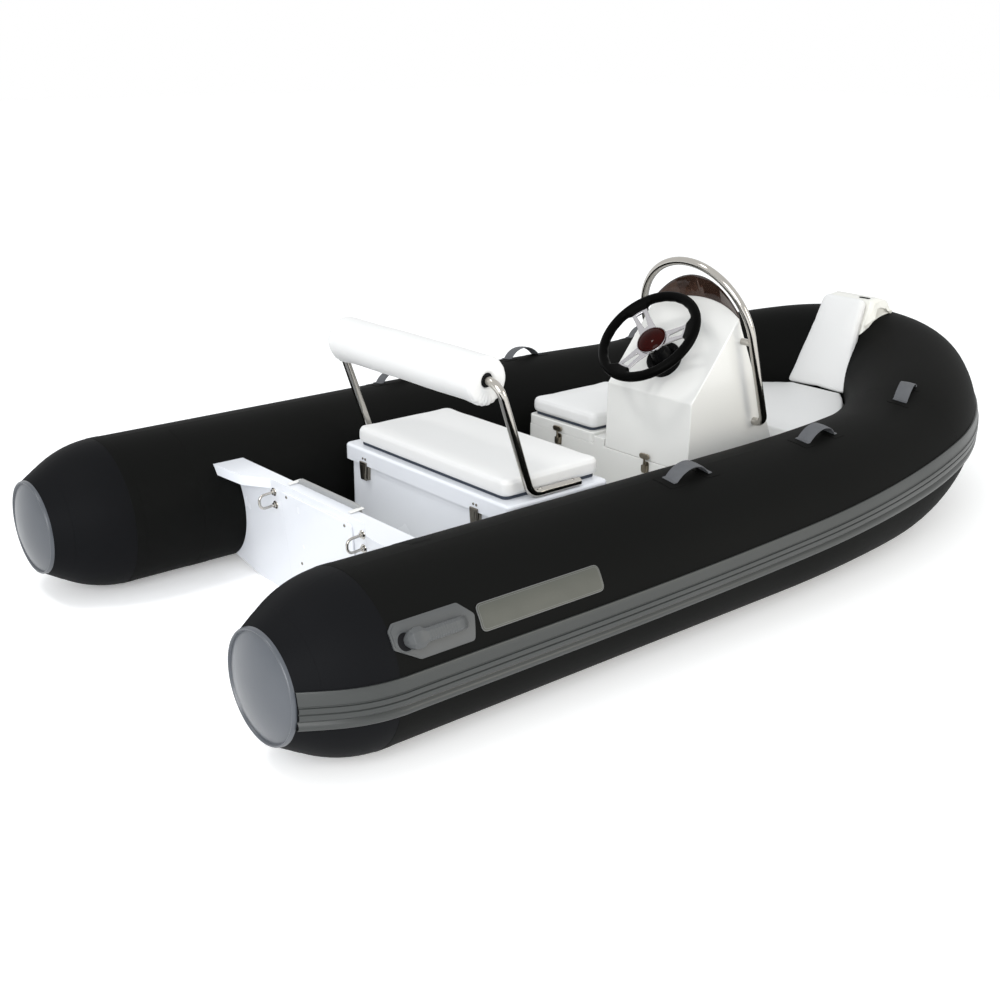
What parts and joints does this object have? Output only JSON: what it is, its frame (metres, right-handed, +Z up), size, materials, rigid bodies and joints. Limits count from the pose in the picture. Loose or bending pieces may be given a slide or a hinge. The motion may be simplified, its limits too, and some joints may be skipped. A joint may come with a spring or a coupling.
{
  "type": "rigid inflatable boat",
  "caption": "Small inflatable boat with black tubes, a moulded white hull, a tilting side console with wheel and rail, a lidded rear seat with bolster backrest and a bow cushion.",
  "frame": {"origin": "on the centreline at the waterline, level with the undersides of the tubes, where the straight tubes start to bend inward", "axes": "+X towards the bow, +Y to port, +Z up"},
  "size_m": [3.3089, 1.7232, 1.0081],
  "materials": {
    "tube_fabric": "coated fabric, low sheen",
    "cone_fabric": "coated fabric, low sheen",
    "cap_rubber": "moulded, satin",
    "strake_rubber": "extruded, satin",
    "moulding": "gel-coated moulding, gloss",
    "transom_moulding": "gel-coated moulding, gloss",
    "clamp_metal": "anodised, satin",
    "cushion_cover": "coated marine vinyl, satin",
    "polished_steel": "polished stainless",
    "tinted_screen": "tinted acrylic, polished",
    "black_plastic": "moulded, satin",
    "handle_rubber": "moulded, satin",
    "wheel_grip": "soft grip, satin",
    "hub_cap": "domed, gloss",
    "webbing": "woven strap",
    "plate": "thin moulded plate"
  },
  "bodies": {
    "boat": {"bow_back_pad": "cushion_cover", "bow_cushion": "cushion_cover", "bow_deck": "moulding", "bow_rub_strake": "strake_rubber", "bow_step": "moulding", "bow_tube": "tube_fabric", "carry_handle_pads": "handle_rubber", "carry_handles": "handle_rubber", "clamp_plate": "clamp_metal", "cockpit_sole": "moulding", "console_hinge": "polished_steel", "console_latch": "polished_steel", "end_caps": "cap_rubber", "engine_pad": "transom_moulding", "grab_straps": "webbing", "hull": "moulding", "middle_locker": "moulding", "name_plates": "plate", "port_rub_strake": "strake_rubber", "port_tube": "tube_fabric", "rear_latches": "polished_steel", "rear_lid_hinges": "polished_steel", "rear_seat_box": "moulding", "side_latch": "polished_steel", "side_lid_hinges": "polished_steel", "starboard_rub_strake": "strake_rubber", "starboard_tube": "tube_fabric", "stern_cones": "cone_fabric", "stern_u_bolts": "polished_steel", "transom": "transom_moulding"},
    "rear_seat": {"rear_seat_lid": "moulding", "rear_seat_cushion": "cushion_cover", "rear_lid_knuckles": "polished_steel", "rear_latch_keepers": "polished_steel", "backrest_frame": "polished_steel", "backrest_bolster": "cushion_cover"},
    "side_seat": {"side_seat_lid": "moulding", "side_seat_cushion": "cushion_cover", "side_lid_knuckles": "polished_steel", "side_latch_keeper": "polished_steel"},
    "console_unit": {"console": "moulding", "windscreen": "tinted_screen", "grab_rail": "polished_steel", "console_knuckle": "polished_steel", "console_latch_keeper": "polished_steel", "steering_bezel": "black_plastic", "steering_column": "black_plastic"},
    "wheel": {"steering_wheel_rim": "wheel_grip", "steering_wheel_spokes": "polished_steel", "steering_wheel_boss": "black_plastic", "steering_wheel_cap": "hub_cap"}
  },
  "joints": [
    {"name": "rear_seat_hinge", "type": "hinge", "parent": "boat", "child": "rear_seat", "pos_m": [-0.3275, 0, 0.304], "axis": [0, 1, 0], "range_deg": [0, 65]},
    {"name": "side_seat_hinge", "type": "hinge", "parent": "boat", "child": "side_seat", "pos_m": [0.4145, 0.21, 0.2985], "axis": [0, 1, 0], "range_deg": [0, 80]},
    {"name": "console_tilt", "type": "hinge", "parent": "boat", "child": "console_unit", "pos_m": [0.51947, -0.181, 0.2765], "axis": [0, 1, 0], "range_deg": [0, 50]},
    {"name": "steering", "type": "hinge", "parent": "console_unit", "child": "wheel", "pos_m": [0.02063, -0.181, 0.68658], "axis": [-0.682, 0, 0.7314], "range_deg": [-540, 540]}
  ]
}
